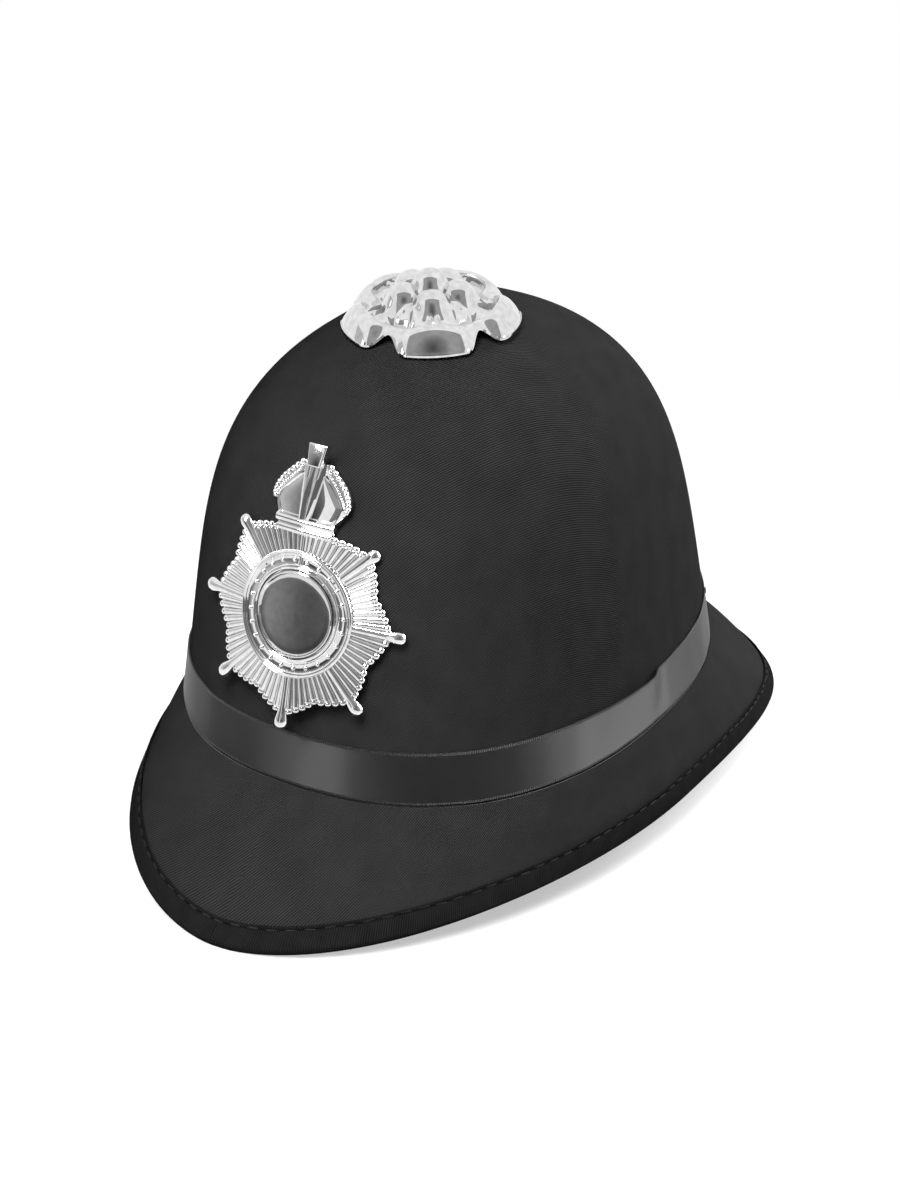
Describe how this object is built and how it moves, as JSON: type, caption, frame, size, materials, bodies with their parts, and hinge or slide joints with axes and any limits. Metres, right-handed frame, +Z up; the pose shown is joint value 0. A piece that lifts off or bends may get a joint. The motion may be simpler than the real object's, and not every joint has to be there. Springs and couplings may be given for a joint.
{
  "type": "custodian police helmet",
  "caption": "Black custodian police helmet: domed twill crown, satin band, stitched brim, chrome star badge on the front and a rose boss on top.",
  "frame": {"origin": "on the floor, under the middle of the helmet's length and width", "axes": "+Z up, +Y towards the back of the helmet, the badge faces -Y, +X to the wearer's left"},
  "size_m": [0.1996, 0.3189, 0.2019],
  "materials": {
    "twill": "matt black twill with a fine diagonal rib",
    "moulded_core": "moulded foam board",
    "lining_cloth": "thin plain lining",
    "spring_wire": "drawn wire",
    "binding_tape": "ribbed bias tape",
    "black_thread": "twisted thread",
    "satin_ribbon": "satin, with a soft bright sheen",
    "sweatband_cloth": "plain woven tape",
    "chrome_plate": "bright plating on moulded plastic",
    "bare_plastic": "as moulded",
    "washer_steel": "stamped"
  },
  "bodies": {
    "root": {"badge_crown": "chrome_plate", "badge_disc": "chrome_plate", "badge_posts": "bare_plastic", "badge_ring": "chrome_plate", "badge_star": "chrome_plate", "badge_washers": "washer_steel", "band_tacks": "black_thread", "binding_stitches": "black_thread", "brim_binding": "binding_tape", "brim_core": "moulded_core", "brim_top_cover": "twill", "brim_under_cover": "twill", "brim_wire": "spring_wire", "crown_cover": "twill", "crown_lining": "lining_cloth", "crown_shell": "moulded_core", "hat_band": "satin_ribbon", "hat_band_join": "satin_ribbon", "rose_boss": "chrome_plate", "rose_posts": "bare_plastic", "rose_washers": "washer_steel", "sweatband": "sweatband_cloth", "sweatband_stitches": "black_thread"}
  },
  "joints": []
}
